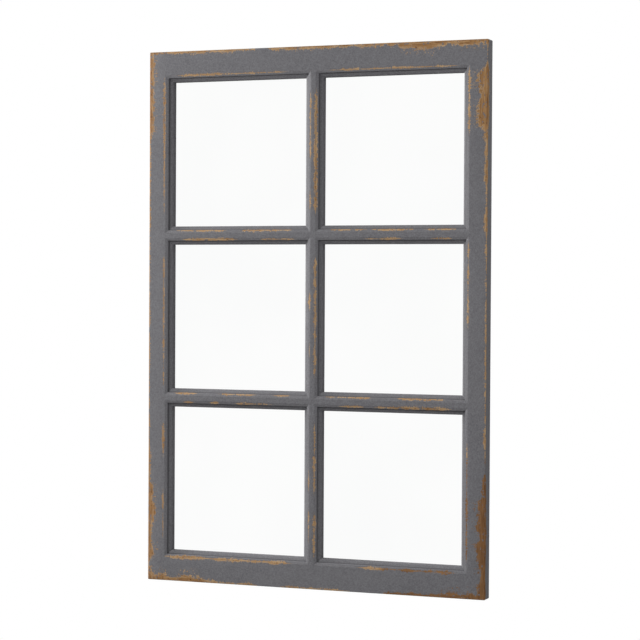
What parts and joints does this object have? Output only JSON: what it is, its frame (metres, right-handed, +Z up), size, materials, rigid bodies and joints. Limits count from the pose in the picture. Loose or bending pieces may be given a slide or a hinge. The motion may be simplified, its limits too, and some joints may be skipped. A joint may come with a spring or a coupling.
{
  "type": "window mirror",
  "caption": "Wall mirror framed like a wooden window sash, with moulded glazing bars over one mirror sheet and a strap hanger with a D-ring on each stile.",
  "frame": {"origin": "middle of the mirror on the wall plane, where the rubber bumpers touch the wall", "axes": "+X to the viewer's right, +Y towards the wall (the mirror faces -Y), +Z up"},
  "size_m": [0.61, 0.0314, 0.914],
  "materials": {
    "painted_wood": "matt grey paint, rubbed through to the wood along the edges, bare wood behind",
    "dowel_wood": "bare beech",
    "mirror": "silvered float glass",
    "packing_card": "plain brown card",
    "hardboard": "smooth brown hardboard",
    "zinc_steel": "bright zinc plate",
    "black_rubber": "matt moulded rubber"
  },
  "bodies": {
    "mirror": {"left_stile": "painted_wood", "right_stile": "painted_wood", "top_rail": "painted_wood", "bottom_rail": "painted_wood", "vertical_muntin": "painted_wood", "upper_left_muntin": "painted_wood", "upper_right_muntin": "painted_wood", "lower_left_muntin": "painted_wood", "lower_right_muntin": "painted_wood", "corner_dowels": "dowel_wood", "muntin_dowels": "dowel_wood", "cross_dowels": "dowel_wood", "mirror_glass": "mirror", "card_sheet": "packing_card", "backing_board": "hardboard", "retaining_points": "zinc_steel", "left_hanger_strap": "zinc_steel", "left_hanger_screws": "zinc_steel", "right_hanger_strap": "zinc_steel", "right_hanger_screws": "zinc_steel", "upper_left_bumper": "black_rubber", "upper_right_bumper": "black_rubber", "lower_left_bumper": "black_rubber", "lower_right_bumper": "black_rubber"},
    "left_ring": {"left_hanger_ring": "zinc_steel"},
    "right_ring": {"right_hanger_ring": "zinc_steel"}
  },
  "joints": [
    {"name": "left_ring_swing", "type": "hinge", "parent": "mirror", "child": "left_ring", "pos_m": [-0.28825, -0.00325, 0.25], "axis": [1, 0, 0], "range_deg": [0, 182]},
    {"name": "right_ring_swing", "type": "hinge", "parent": "mirror", "child": "right_ring", "pos_m": [0.28825, -0.00325, 0.25], "axis": [1, 0, 0], "range_deg": [0, 182]}
  ]
}
